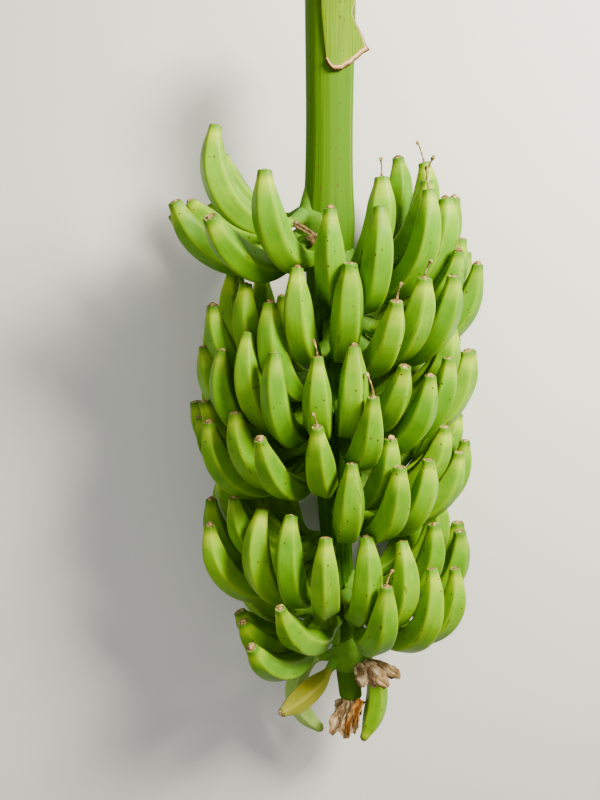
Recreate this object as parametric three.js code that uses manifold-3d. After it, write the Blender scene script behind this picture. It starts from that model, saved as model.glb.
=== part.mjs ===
// A cut banana bunch lying on its back. Eleven hands of green fruit climb a ridged stalk in turn, left and
// right. Each hand is a crown on the stalk with an outer and an inner row of curved fruit. A torn sheath
// hugs the cut end of the stalk and dry bracts hang on at its flower end.
// Millimetres: X to the right, Y up the stalk, Z up from the ground.
import * as THREE from "three";
import { mergeVertices } from "three/addons/utils/BufferGeometryUtils.js";
import Module from "manifold-3d";

const wasm = await Module();
wasm.setup();

const STALK_TOP = 845; // cut face
const STALK_FOOT = 14; // where the bracts begin
const STALK_LEAN = 24; // how far the flower end swings to the right
const STALK_ASIDE = -6.5; // how far the stalk stands left of its hands' middle, up at the first one
const STALK_SIDES = 12;
const CLEAR = 0.3; // gap between neighbouring bodies
const STUB = 12; // length of the stub that joins a fruit to its crown
const STEPS = 16; // steps along a fruit's centre line
const BEND = 1.2; // above 1, a fruit turns up early
const SWING = 0.4; // share of a fruit's length in which it swings from its foot's turn to its own
const CROWN_PAD = 9; // how far a crown reaches above and below its rows of necks
const CROWN_ENDS = 5; // degrees that a crown reaches past its first and last neck
const CROWN_STEP = 28; // degrees about the stalk in one facet of a crown
const CROWN_BACK = 5; // how far a crown's face stays behind the necks of the free fruit
const CROWN_SINK = 3; // how far a crown reaches into the stalk before it is cut to it
const SHEATH_SKIN = 5.5;

const PRESS_ROUNDS = 120;
const PRESS_GAP = 0.6; // room the fruits leave each other
const PRESS_REACH = 18; // no fruit is thicker than this about its centre line
const HOLD = 0.35; // how readily a fruit that is set gives way, where a fanned one counts 1
const PRESS_LIMIT = 2.5; // most degrees that a fruit gives way in one round
const NECK_STEPS = 2; // steps at the neck that neighbours of one hand may share
const YIELDS = ["turn", "low", "high"]; // what gives way in a pressed fruit

const LYING_PITCH = 5.5; // degrees about X, so that the bunch rests evenly on its back
const LYING_ROLL = 1.46; // degrees about Y
const SHIFT = new THREE.Vector3(8.14, -401.16, 101.61); // puts the middle of the underside at the origin

// Share of a fruit's length, and its radius there: thin neck, full body, bottle-necked tip.
const FRUIT_STATIONS = [0, 0.1, 0.2, 0.32, 0.48, 0.64, 0.78, 0.88, 0.95, 1];
const FRUIT_RADII = [5, 5.6, 8.8, 12.6, 14.8, 14.8, 13.4, 10.2, 6.8, 5.8];

// Level up the stalk, and the stalk's radius there.
const STALK_STATIONS = [14, 80, 160, 250, 350, 420, 500, 560, 600, 640, 845];
const STALK_RADII = [14, 15, 16.5, 18, 20.5, 22, 23.5, 26, 28.5, 26.5, 26.5];

const LEFT = -1;
const RIGHT = 1;

// One row of fruit: the ones set one by one, each [turn of its foot, its own turn, rise at the neck, rise
// at the tip, length], then an even fan: how many, the first one's turn, the turn to the next, and the
// rise at the neck and at the tip and the length that they share. Turns and rises are in degrees.
const row = (set, count, first, step, low, high, length) => ({ set, count, first, step, low, high, length });
const NONE = row([], 0, 0, 0, 0, 0, 0);

// Name, side, level up the stalk, fatness of the fruit, height of the inner row over the outer, distance
// of the outer row's necks from the stalk's middle, how many fruits of each row stand free, and the rows.
const HANDS = [
  hand("01", LEFT, 582, 1.16, 26, 48, [4, 1],
    row(
      [[22, 30, -38, 92, 174], [42, 40, -38, 58, 166],
        [62, 70, -40, 68, 166], [80, 90, -36, 52, 146]],
      3, 98, 19, -30, 54, 136),
    row([[62, 64, -26, 104, 170]], 1, 112, 0, -22, 84, 130)),
  hand("02", RIGHT, 530, 1.1, 25, 42, [4, 1],
    row(
      [[0, -5, -17, 93, 157], [17, 15, -24, 106, 176],
        [38, 46, -10, 100, 172], [62, 72, -14, 96, 152]],
      4, 92, 19, 6, 94, 146),
    row([[18, 18, -12, 92, 152]], 3, 54, 38, 0, 94, 140)),
  hand("03", RIGHT, 466, 1.12, 24, 42, [4, 0],
    row(
      [[-20, -32, -18, 92, 162], [4, 8, -10, 84, 166], [22, 20, -23, 77, 162],
        [40, 32, -16, 86, 160], [60, 50, -20, 90, 170], [80, 80, -14, 90, 172]],
      4, 98, 17, -24, 80, 163),
    row([[60, 60, -19, 82, 156], [82, 80, -15, 82, 156]], 2, 110, 24, -14, 84, 156)),
  hand("04", LEFT, 396, 1.08, 26, 42, [4, 0],
    row(
      [[11, 20, -30, 92, 172], [26, 26, -34, 106, 184], [41, 36, -34, 108, 182],
        [56, 48, -36, 106, 180], [71, 62, -36, 86, 160]],
      5, 87, 16, -18, 96, 168),
    row([[31, 34, -4, 100, 168], [47, 46, -2, 96, 170], [63, 62, -10, 88, 166]], 3, 84, 26, 4, 98, 162)),
  hand("05", RIGHT, 376, 1.1, 24, 42, [4, 1],
    row([[13, 12, -40, 90, 170]], 7, 34, 18.5, -22, 90, 164),
    row([[9, 6, -32, 104, 174], [28, 27, -26, 70, 160]], 3, 58, 32, -12, 94, 158)),
  hand("06", LEFT, 322, 1.1, 24, 42, [4, 0],
    row(
      [[7, 8, -8, 76, 165], [26, 35, -14, 68, 170], [43, 43, -20, 84, 166],
        [58, 59, -32, 88, 172], [74, 73, -32, 78, 152]],
      4, 92, 17.5, -24, 82, 162),
    row([], 4, 66, 27, -18, 76, 150)),
  hand("07", RIGHT, 277, 1.1, 24, 42, [4, 0],
    row(
      [[6, 12, -26, 94, 168], [25, 22, -20, 96, 168],
        [43, 38, -24, 92, 164]],
      5, 62, 20, -24, 88, 160),
    row([], 4, 24, 34, -14, 86, 150)),
  hand("08", LEFT, 196, 1.12, 24, 42, [4, 0],
    row(
      [[12, 14, -28, 102, 182], [28, 22, -28, 112, 186],
        [44, 32, -28, 118, 186], [61, 62, -36, 90, 184]],
      5, 80, 16.5, -14, 96, 166),
    row([[52, 52, -10, 86, 158]], 3, 80, 28, -4, 86, 148)),
  hand("09", RIGHT, 146, 1.14, 24, 42, [4, 0],
    row(
      [[16, 15, -22, 96, 172], [37, 39, -34, 104, 190],
        [54, 53, -38, 100, 178]],
      4, 77, 21, -14, 94, 164),
    row([[10, 11, -17, 112, 172], [29, 28, -34, 114, 180]], 3, 58, 34, 0, 100, 156)),
  hand("10", LEFT, 112, 1.06, 24, 42, [4, 0],
    row(
      [[40, 38, -26, 60, 158], [58, 50, -26, 68, 128],
        [76, 80, -30, 64, 104]],
      2, 104, 28, -18, 86, 120),
    row([[16, 32, -12, 66, 166]], 1, 92, 30, -10, 84, 120)),
  hand("11", RIGHT, 70, 0.94, 14, 26, [3, 0],
    row(
      [[-46, -50, -34, -12, 86], [88, 98, -62, -116, 114],
        [-102, -98, -14, -146, 132]],
      0, 0, 0, 0, 0, 0),
    NONE),
];

function hand(name, side, level, girth, rise, reach, free, outer, inner) {
  return { name, side, level, girth, rise, reach, free, rows: [outer, inner] };
}

const radians = (degrees) => (degrees * Math.PI) / 180;
const ease = (t) => 1 - (1 - t) ** BEND;

function smooth(t) {
  const w = Math.min(1, Math.max(0, t));
  return w * w * (3 - 2 * w);
}

// A settled number from -1 to 1 that stands in for chance.
function whim(seed, i) {
  const v = Math.sin(seed * 12.9898 + i * 78.233) * 43758.5453;
  return 2 * (v - Math.floor(v)) - 1;
}

// The value at x of a line drawn through the stations.
function between(x, stations, values) {
  let k = 1;
  while (k < stations.length - 1 && x > stations[k]) k += 1;
  const share = (x - stations[k - 1]) / (stations[k] - stations[k - 1]);
  return values[k - 1] + (values[k] - values[k - 1]) * Math.min(1, Math.max(0, share));
}

// Middle of the ring of necks at a level.
function neckMiddle(level) {
  return new THREE.Vector3(STALK_LEAN * Math.max(0, (330 - level) / 300) ** 1.4, level, 0);
}

// How far the stalk stands aside from that middle.
const aside = (level) => STALK_ASIDE * smooth((level - 330) / 270);

function stalkMiddle(level) {
  return neckMiddle(level).add(new THREE.Vector3(aside(level), 0, 0));
}

const stalkRadius = (level) => between(level, STALK_STATIONS, STALK_RADII);

// Turn about the stalk at share t of a fruit: it leaves the crown at its foot's turn and swings to its own.
function turnAt(fruit, t) {
  return radians(fruit.foot) + radians(fruit.turn - fruit.foot) * smooth(t / SWING);
}

const riseAt = (fruit, t) => radians(fruit.low + (fruit.high - fruit.low) * ease(t));

function heading(turn, rise) {
  return new THREE.Vector3(Math.cos(rise) * Math.sin(turn), Math.sin(rise), Math.cos(rise) * Math.cos(turn));
}

function centreLine(fruit) {
  const point = neckMiddle(fruit.level).addScaledVector(heading(radians(fruit.foot), 0), fruit.start);
  const line = [point.clone()];
  for (let s = 0; s < STEPS; s += 1) {
    const t = (s + 0.5) / STEPS;
    point.addScaledVector(heading(turnAt(fruit, t), riseAt(fruit, t)), fruit.length / STEPS);
    line.push(point.clone());
  }
  return line;
}

const fruitRadius = (fruit, t) => between(t, FRUIT_STATIONS, FRUIT_RADII) * fruit.girth;

// Every fruit of a row, on its hand's side: set ones first, then the fan with small differences.
function rowFruits(h, r, seed) {
  const set = r.set.map(([foot, turn, low, high, length]) => ({ foot, turn, low, high, length, give: HOLD }));
  const fan = Array.from({ length: r.count }, (_, j) => {
    const [k, foot] = [seed + r.set.length + j, r.first + r.step * j];
    const turn = foot + 1.5 * whim(1, k);
    const [low, high] = [r.low + 3 * whim(2, k), r.high + 4 * whim(3, k)];
    return { foot, turn, low, high, length: r.length * (1 + 0.035 * whim(4, k)), give: 1 };
  });
  return [...set, ...fan].map((f) => ({ ...f, foot: h.side * f.foot, turn: h.side * f.turn }));
}

function fannedFruits() {
  return HANDS.flatMap((h, n) =>
    h.rows.flatMap((r, inner) =>
      rowFruits(h, r, n * 40 + inner * 20).map((f, i) => ({
        ...f,
        hand: h,
        inner,
        i,
        free: i < h.free[inner],
        level: h.level + inner * h.rise,
        start: h.reach - inner * 4,
        girth: h.girth,
      })),
    ),
  );
}

// The deepest overlap of two fruits, as { depth, a, b } with the steps where it lies, or null.
function deepest(lineA, radiiA, lineB, radiiB, first) {
  let found = null;
  for (let a = first; a <= STEPS; a += 1) {
    for (let b = first; b <= STEPS; b += 1) {
      const depth = radiiA[a] + radiiB[b] + PRESS_GAP - lineA[a].distanceTo(lineB[b]);
      if (depth > 0 && (!found || depth > found.depth)) found = { depth, a, b };
    }
  }
  return found;
}

// How a point of a fruit moves for one degree more of its turn, its rise at the neck and its rise at the tip.
function yielding(fruit, line) {
  return YIELDS.map((key) =>
    centreLine({ ...fruit, [key]: fruit[key] + 1 }).map((p, k) => p.sub(line[k])),
  );
}

// Crowded fruits press one another aside, a little in each round, until none overlap.
function pressApart(fruits) {
  const radii = fruits.map((f) =>
    Array.from({ length: STEPS + 1 }, (_, k) => fruitRadius(f, k / STEPS)),
  );
  for (let round = 0; round < PRESS_ROUNDS; round += 1) {
    const lines = fruits.map(centreLine);
    const boxes = lines.map((line) => new THREE.Box3().setFromPoints(line).expandByScalar(PRESS_REACH));
    const ways = fruits.map((f, k) => yielding(f, lines[k]));
    const pushes = fruits.map(() => ({ hits: 0, by: [0, 0, 0] }));
    for (let i = 0; i < fruits.length; i += 1) {
      for (let j = i + 1; j < fruits.length; j += 1) {
        if (!boxes[i].intersectsBox(boxes[j])) continue;
        const first = fruits[i].hand === fruits[j].hand ? NECK_STEPS : 0;
        const hit = deepest(lines[i], radii[i], lines[j], radii[j], first);
        if (!hit) continue;
        const away = lines[i][hit.a].clone().sub(lines[j][hit.b]).normalize();
        const share = fruits[i].give / (fruits[i].give + fruits[j].give);
        push(pushes[i], ways[i], hit.a, away, hit.depth * share);
        push(pushes[j], ways[j], hit.b, away.negate(), hit.depth * (1 - share));
      }
    }
    fruits.forEach((f, k) => {
      const { hits, by } = pushes[k];
      YIELDS.forEach((key, c) => {
        if (hits) f[key] += THREE.MathUtils.clamp(by[c] / Math.sqrt(hits), -PRESS_LIMIT, PRESS_LIMIT);
      });
    });
  }
  return fruits;
}

// Adds the change in turn and rise that moves one point of a fruit away from its neighbour by a length.
function push(into, ways, step, away, by) {
  const slopes = ways.map((way) => way[step].dot(away));
  const square = slopes.reduce((sum, g) => sum + g * g, 0.05);
  slopes.forEach((g, c) => (into.by[c] += (g / square) * by));
  into.hits += 1;
}

// A closed body for joining and cutting, from any closed three.js shape.
function body(geometry) {
  const bare = geometry.index ? geometry.toNonIndexed() : geometry.clone();
  bare.deleteAttribute("normal");
  bare.deleteAttribute("uv");
  const merged = mergeVertices(bare, 1e-4);
  const corners = [];
  const index = merged.index.array;
  for (let i = 0; i < index.length; i += 3) {
    const [a, b, c] = [index[i], index[i + 1], index[i + 2]];
    if (a !== b && b !== c && c !== a) corners.push(a, b, c);
  }
  return new wasm.Manifold(
    new wasm.Mesh({
      numProp: 3,
      vertProperties: new Float32Array(merged.attributes.position.array),
      triVerts: new Uint32Array(corners),
    }),
  );
}

function geometryOf(manifold) {
  const mesh = manifold.getMesh();
  const geometry = new THREE.BufferGeometry();
  geometry.setAttribute("position", new THREE.BufferAttribute(new Float32Array(mesh.vertProperties), 3));
  geometry.setIndex(new THREE.BufferAttribute(new Uint32Array(mesh.triVerts), 1));
  return geometry;
}

const join = (bodies) => bodies.reduce((all, one) => all.add(one));

// A straight lathed shape of [distance along, radius] points, with closed ends.
function lathed(points, sides) {
  const last = points[points.length - 1];
  const profile = [[points[0][0], 0], ...points, [last[0], 0]].map(([y, r]) => new THREE.Vector2(r, y));
  return new THREE.LatheGeometry(profile, sides);
}

// Carries a straight shape along Y onto a curved line: place(y) gives the point and the axes there.
function bent(geometry, place) {
  const at = geometry.attributes.position;
  const p = new THREE.Vector3();
  for (let i = 0; i < at.count; i += 1) {
    p.fromBufferAttribute(at, i);
    const { point, side, lift } = place(p.y);
    p.copy(point.clone().addScaledVector(side, p.x).addScaledVector(lift, p.z));
    at.setXYZ(i, p.x, p.y, p.z);
  }
  return geometry;
}

// Place on a fruit at step k; below 0 the line runs straight back into the crown, in millimetres.
function fruitPlace(fruit, line) {
  return (k) => {
    const t = Math.max(0, k) / STEPS;
    const turn = turnAt(fruit, t);
    const along = heading(turn, riseAt(fruit, t));
    const side = new THREE.Vector3(Math.cos(turn), 0, -Math.sin(turn));
    const point = k < 0 ? line[0].clone().addScaledVector(along, k) : line[Math.round(k)].clone();
    return { point, side, lift: side.clone().cross(along) };
  };
}

// A curved fruit: a free one starts at its own neck, a fused one, with fewer facets, inside the crown.
function fruitBody(fruit) {
  const steps = fruit.free ? [0, 2, 4, 6, 8, 10, 12, 14, 16] : [0, 3, 7, 11, 14, 16];
  const points = steps.map((k) => [k, fruitRadius(fruit, k / STEPS)]);
  if (!fruit.free) points.unshift([-STUB, fruitRadius(fruit, 0)]);
  return body(bent(lathed(points, fruit.free ? 6 : 5), fruitPlace(fruit, centreLine(fruit))));
}

function stubBody(fruit) {
  const r = fruitRadius(fruit, 0);
  return body(bent(lathed([[-STUB, r], [-CLEAR, r]], 5), fruitPlace(fruit, centreLine(fruit))));
}

// The stalk, swelling at the first hand; more makes it fatter all round.
function stalkBody(more) {
  const grow = more / Math.cos(Math.PI / STALK_SIDES);
  const points = STALK_STATIONS.map((level, k) => [level, STALK_RADII[k] + grow]);
  const place = (level) => ({
    point: stalkMiddle(level),
    side: new THREE.Vector3(1, 0, 0),
    lift: new THREE.Vector3(0, 0, 1),
  });
  return body(bent(lathed(points, STALK_SIDES), place));
}

// A level arc about the stalk, for the crown's body to follow.
class CrownArc extends THREE.Curve {
  constructor(middle, radius, from, to) {
    super();
    Object.assign(this, { middle, radius, from, to });
  }

  getPoint(t) {
    const turn = radians(this.from + (this.to - this.from) * t);
    return this.middle.clone().addScaledVector(heading(turn, 0), this.radius);
  }
}

// The cushion on the stalk that carries a hand's two rows.
function crownBody(h) {
  const feet = h.rows.flatMap((r) => rowFruits(h, r, 0).map((f) => h.side * f.foot));
  const [from, to] = [Math.min(...feet) - CROWN_ENDS, Math.max(...feet) + CROWN_ENDS];
  const near = stalkRadius(h.level) - CROWN_SINK - Math.abs(aside(h.level));
  const far = h.reach - CROWN_BACK;
  const middle = neckMiddle(h.level).add(new THREE.Vector3(0, h.rise / 2, 0));
  const path = new CrownArc(middle, (near + far) / 2, h.side * from, h.side * to);
  const section = new THREE.Shape();
  section.absellipse(0, 0, h.rise / 2 + CROWN_PAD, (far - near) / 2, 0, 2 * Math.PI);
  const steps = Math.round((to - from) / CROWN_STEP);
  return body(new THREE.ExtrudeGeometry(section, { steps, curveSegments: 3, extrudePath: path }));
}

// A hand: crown, stubs of the free fruits, and the fruits that lie behind, all one body.
function handBody(h, fruits) {
  const own = fruits.filter((f) => f.hand === h);
  const grown = own.map((f) => (f.free ? stubBody(f) : fruitBody(f)));
  return join([crownBody(h), ...grown]).subtract(stalkBody(CLEAR));
}

// The torn leaf sheath: a thick skin about the front and right of the cut end, its lower rim cut aslant.
function sheathBody() {
  const skin = stalkBody(SHEATH_SKIN).subtract(stalkBody(CLEAR));
  const block = new THREE.BoxGeometry(64, 180, 90);
  block.rotateZ(radians(14));
  block.rotateY(radians(-12));
  block.translate(STALK_ASIDE + 12, STALK_TOP + 22, 16);
  return skin.intersect(body(block));
}

// Dry papery bracts, torn and folded about the flower end of the stalk.
function bractBody() {
  const foot = stalkMiddle(STALK_FOOT);
  const leaf = (length, width, turn, spread, twist) => {
    const outline = new THREE.Shape();
    outline.moveTo(-4, 0);
    outline.quadraticCurveTo(-width, -length * 0.45, -width * 0.2, -length);
    outline.lineTo(width * 0.35, -length * 0.94);
    outline.quadraticCurveTo(width, -length * 0.4, 4, 0);
    const geometry = new THREE.ExtrudeGeometry(outline, { depth: 3, curveSegments: 3, bevelEnabled: false });
    geometry.translate(0, 0, -1.5);
    geometry.rotateY(radians(twist));
    geometry.rotateX(radians(-spread));
    geometry.rotateY(radians(turn));
    geometry.translate(foot.x, foot.y - CLEAR - 5, foot.z);
    return body(geometry);
  };
  const knob = new THREE.CylinderGeometry(9, 6, 12, 8);
  knob.translate(foot.x, foot.y - CLEAR - 6, foot.z);
  return join([body(knob), leaf(46, 15, 20, 14, 10), leaf(38, 13, -165, 18, -20), leaf(42, 12, -95, 14, 30)]);
}

const GREEN = { fruit: 0x86b32a, young: 0xa9ad3a, crown: 0x7ba23c, stalk: 0x8aa840, sheath: 0x9ab843 };
const DRY = 0x9a7443;

function named(name, manifold, colour, roughness) {
  const material = new THREE.MeshStandardMaterial({ color: colour, roughness, metalness: 0 });
  const mesh = new THREE.Mesh(geometryOf(manifold), material);
  mesh.name = name;
  return mesh;
}

function bunch() {
  const fruits = pressApart(fannedFruits());
  const group = new THREE.Group();
  group.name = "banana_bunch";
  group.add(named("stalk", stalkBody(0), GREEN.stalk, 0.55));
  group.add(named("sheath", sheathBody(), GREEN.sheath, 0.6));
  group.add(named("bracts", bractBody(), DRY, 0.9));
  HANDS.forEach((h) => group.add(named(`hand_${h.name}`, handBody(h, fruits), GREEN.crown, 0.5)));
  fruits
    .filter((f) => f.free)
    .forEach((f) => {
      const name = `fruit_${f.hand.name}_${f.inner ? "inner" : "outer"}_${f.i + 1}`;
      group.add(named(name, fruitBody(f), f.hand.name === "11" ? GREEN.young : GREEN.fruit, 0.45));
    });
  const lie = new THREE.Matrix4()
    .makeTranslation(SHIFT)
    .multiply(new THREE.Matrix4().makeRotationX(radians(LYING_PITCH)))
    .multiply(new THREE.Matrix4().makeRotationY(radians(LYING_ROLL)));
  group.children.forEach((mesh) => mesh.geometry.applyMatrix4(lie));
  return group;
}

export default bunch();
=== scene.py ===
import functools
import math

import bmesh
import bpy
import numpy as np
from mathutils import Matrix, Vector, noise


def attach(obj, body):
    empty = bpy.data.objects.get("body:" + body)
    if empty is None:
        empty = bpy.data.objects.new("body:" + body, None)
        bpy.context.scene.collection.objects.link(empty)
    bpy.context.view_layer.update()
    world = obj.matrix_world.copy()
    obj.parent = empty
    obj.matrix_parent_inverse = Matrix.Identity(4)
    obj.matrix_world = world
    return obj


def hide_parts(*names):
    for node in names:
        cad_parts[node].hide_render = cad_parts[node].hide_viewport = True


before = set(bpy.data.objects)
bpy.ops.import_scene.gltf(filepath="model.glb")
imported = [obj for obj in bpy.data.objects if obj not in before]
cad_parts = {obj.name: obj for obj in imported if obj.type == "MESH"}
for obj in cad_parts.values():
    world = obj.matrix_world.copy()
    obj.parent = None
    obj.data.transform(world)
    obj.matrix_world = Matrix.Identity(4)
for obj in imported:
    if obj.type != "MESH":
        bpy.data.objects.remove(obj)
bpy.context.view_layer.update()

bl_info = {
    "name": "Banana Bunch",
    "version": (1, 0, 0),
    "blender": (4, 5, 0),
    "location": "View3D > Sidebar > Bunch",
    "description": "Dresses the packed frame of a cut banana bunch",
    "category": "Object",
}

# How the bunch grows
# Millimetres and degrees in the stalk's own frame: X to the right, Y up the stalk, Z to the viewer.
STALK_TOP = 845
STALK_FOOT = 14
STALK_LEAN = 24  # how far the lower stalk swings to the right, over LEAN_SPAN below LEAN_FROM
LEAN_FROM = 330
LEAN_SPAN = 300
STALK_ASIDE = -6.5  # how far the cut end stands beside the middle of its hands
ASIDE_SPAN = 270
STALK_STATIONS = (14, 80, 160, 250, 350, 420, 500, 560, 600, 640, 845)
STALK_RADII = (14, 15, 16.5, 18, 20.5, 22, 23.5, 26, 28.5, 26.5, 26.5)
STEPS = 16  # of a fruit's centre line
BEND = 1.2  # above 1, a fruit rises more near its neck
SWING = 0.4  # share of its length in which a fruit turns from its foot's way to its own
# Shares of a fruit's length and the radii there, as its solid has them.
FRUIT_STATIONS = (0, 0.1, 0.2, 0.32, 0.48, 0.64, 0.78, 0.88, 0.95, 1)
FRUIT_RADII = (5, 5.6, 8.8, 12.6, 14.8, 14.8, 13.4, 10.2, 6.8, 5.8)
PRESS_ROUNDS = 120
PRESS_GAP = 0.6
PRESS_LIMIT = 2.5  # degrees in a round
PRESS_REACH = 18
PRESS_DAMPING = 0.05
HOLD = 0.35  # how far a fruit set one by one gives way, where one of a fan gives 1
NECK_STEPS = 2  # at the neck, where fruits of one hand may touch
STRAY = (1.5, 3, 4, 0.035)  # how far a fan's fruits stray in turn, both rises and share of the length
HAND_STEP, ROW_STEP = 40, 20  # of a fruit's number from hand to hand and from row to row
INNER_BACK = 4  # how much nearer the inner row's necks start
LEFT, RIGHT = -1, 1
NONE = (0, 0, 0, 0, 0, 0)
# Name, side, level, fatness, height of the inner row, reach of the outer row's necks and how many fruits
# of each row stand free. Then for the outer and the inner row, the fruits set one by one, each by its
# foot's turn, its own turn, its rise at the neck and at the tip and its length; and the even fan that
# follows: how many, the first one's turn, the turn to the next, both rises and the length.
HANDS = (
    ("01", LEFT, 582, 1.16, 26, 48, 4, 1,
     ((22, 30, -38, 92, 174), (42, 40, -38, 58, 166), (62, 70, -40, 68, 166), (80, 90, -36, 52, 146)),
     (3, 98, 19, -30, 54, 136),
     ((62, 64, -26, 104, 170),),
     (1, 112, 0, -22, 84, 130)),
    ("02", RIGHT, 530, 1.1, 25, 42, 4, 1,
     ((0, -5, -17, 93, 157), (17, 15, -24, 106, 176), (38, 46, -10, 100, 172), (62, 72, -14, 96, 152)),
     (4, 92, 19, 6, 94, 146),
     ((18, 18, -12, 92, 152),),
     (3, 54, 38, 0, 94, 140)),
    ("03", RIGHT, 466, 1.12, 24, 42, 4, 0,
     ((-20, -32, -18, 92, 162), (4, 8, -10, 84, 166), (22, 20, -23, 77, 162),
      (40, 32, -16, 86, 160), (60, 50, -20, 90, 170), (80, 80, -14, 90, 172)),
     (4, 98, 17, -24, 80, 163),
     ((60, 60, -19, 82, 156), (82, 80, -15, 82, 156)),
     (2, 110, 24, -14, 84, 156)),
    ("04", LEFT, 396, 1.08, 26, 42, 4, 0,
     ((11, 20, -30, 92, 172), (26, 26, -34, 106, 184), (41, 36, -34, 108, 182),
      (56, 48, -36, 106, 180), (71, 62, -36, 86, 160)),
     (5, 87, 16, -18, 96, 168),
     ((31, 34, -4, 100, 168), (47, 46, -2, 96, 170), (63, 62, -10, 88, 166)),
     (3, 84, 26, 4, 98, 162)),
    ("05", RIGHT, 376, 1.1, 24, 42, 4, 1,
     ((13, 12, -40, 90, 170),),
     (7, 34, 18.5, -22, 90, 164),
     ((9, 6, -32, 104, 174), (28, 27, -26, 70, 160)),
     (3, 58, 32, -12, 94, 158)),
    ("06", LEFT, 322, 1.1, 24, 42, 4, 0,
     ((7, 8, -8, 76, 165), (26, 35, -14, 68, 170), (43, 43, -20, 84, 166),
      (58, 59, -32, 88, 172), (74, 73, -32, 78, 152)),
     (4, 92, 17.5, -24, 82, 162),
     (),
     (4, 66, 27, -18, 76, 150)),
    ("07", RIGHT, 277, 1.1, 24, 42, 4, 0,
     ((6, 12, -26, 94, 168), (25, 22, -20, 96, 168), (43, 38, -24, 92, 164)),
     (5, 62, 20, -24, 88, 160),
     (),
     (4, 24, 34, -14, 86, 150)),
    ("08", LEFT, 196, 1.12, 24, 42, 4, 0,
     ((12, 14, -28, 102, 182), (28, 22, -28, 112, 186),
      (44, 32, -28, 118, 186), (61, 62, -36, 90, 184)),
     (5, 80, 16.5, -14, 96, 166),
     ((52, 52, -10, 86, 158),),
     (3, 80, 28, -4, 86, 148)),
    ("09", RIGHT, 146, 1.14, 24, 42, 4, 0,
     ((16, 15, -22, 96, 172), (37, 39, -34, 104, 190), (54, 53, -38, 100, 178)),
     (4, 77, 21, -14, 94, 164),
     ((10, 11, -17, 112, 172), (29, 28, -34, 114, 180)),
     (3, 58, 34, 0, 100, 156)),
    ("10", LEFT, 112, 1.06, 24, 42, 4, 0,
     ((40, 38, -26, 60, 158), (58, 50, -26, 68, 128), (76, 80, -30, 64, 104)),
     (2, 104, 28, -18, 86, 120),
     ((16, 32, -12, 66, 166),),
     (1, 92, 30, -10, 84, 120)),
    ("11", RIGHT, 70, 0.94, 14, 26, 3, 0,
     ((-46, -50, -34, -12, 86), (88, 98, -62, -116, 114), (-102, -98, -14, -146, 132)),
     NONE,
     (),
     NONE),
)
# Lays the bunch on its back on the floor, in metres.
LYING = (
    Matrix.Translation(Vector((8.14, -401.16, 101.61)) * 0.001)
    @ Matrix.Rotation(math.radians(5.5), 4, "X")
    @ Matrix.Rotation(math.radians(1.46), 4, "Y")
    @ Matrix.Scale(0.001, 4)
)
MIDWAY = (np.arange(STEPS) + 0.5) / STEPS


def whim(seed, i):
    """A settled number from -1 to 1 that stands in for chance."""
    v = math.sin(seed * 12.9898 + i * 78.233) * 43758.5453
    return 2 * (v - math.floor(v)) - 1


def eased(t):
    t = np.clip(t, 0, 1)
    return t * t * (3 - 2 * t)


def hill(x, width):
    """A smooth hill of height 1 about 0."""
    return np.exp(-((x / width) ** 2))


def lean(level):
    """How far the middle of a ring of necks swings to the right at a level."""
    return STALK_LEAN * np.maximum(0, (LEAN_FROM - np.asarray(level, float)) / LEAN_SPAN) ** 1.4


def aside(level):
    """How far the stalk stands aside from that middle."""
    return STALK_ASIDE * eased((np.asarray(level, float) - LEAN_FROM) / ASIDE_SPAN)


def wall_at(level):
    """Radius of the stalk at a level."""
    return np.interp(level, STALK_STATIONS, STALK_RADII)


def heading(turn, rise):
    return np.stack((np.cos(rise) * np.sin(turn), np.sin(rise), np.cos(rise) * np.cos(turn)), -1)


def turned(foot, turn, share):
    """A fruit's turn in radians at a share of its length, from its foot's turn to its own."""
    return np.radians(foot + (turn - foot) * eased(share / SWING))


def risen(low, high, share):
    """A fruit's rise in radians at a share of its length."""
    return np.radians(low + (high - low) * (1 - (1 - share) ** BEND))


def between(a, b, leaving, arriving, u):
    """A smooth run from a to b with the slopes given at its ends."""
    return (
        a * (1 + 2 * u) * (1 - u) ** 2 + b * u * u * (3 - 2 * u)
        + leaving * u * (1 - u) ** 2 - arriving * u * u * (1 - u)
    )


def smooth_line(x, stations, values):
    """A curve without corners through the stations."""
    x, stations, values = (np.asarray(v, float) for v in (x, stations, values))
    slopes = np.gradient(values, stations)
    k = np.clip(np.searchsorted(stations, x, side="right") - 1, 0, len(stations) - 2)
    width = stations[k + 1] - stations[k]
    u = np.clip((x - stations[k]) / width, 0, 1)
    return between(values[k], values[k + 1], width * slopes[k], width * slopes[k + 1], u)


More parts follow.
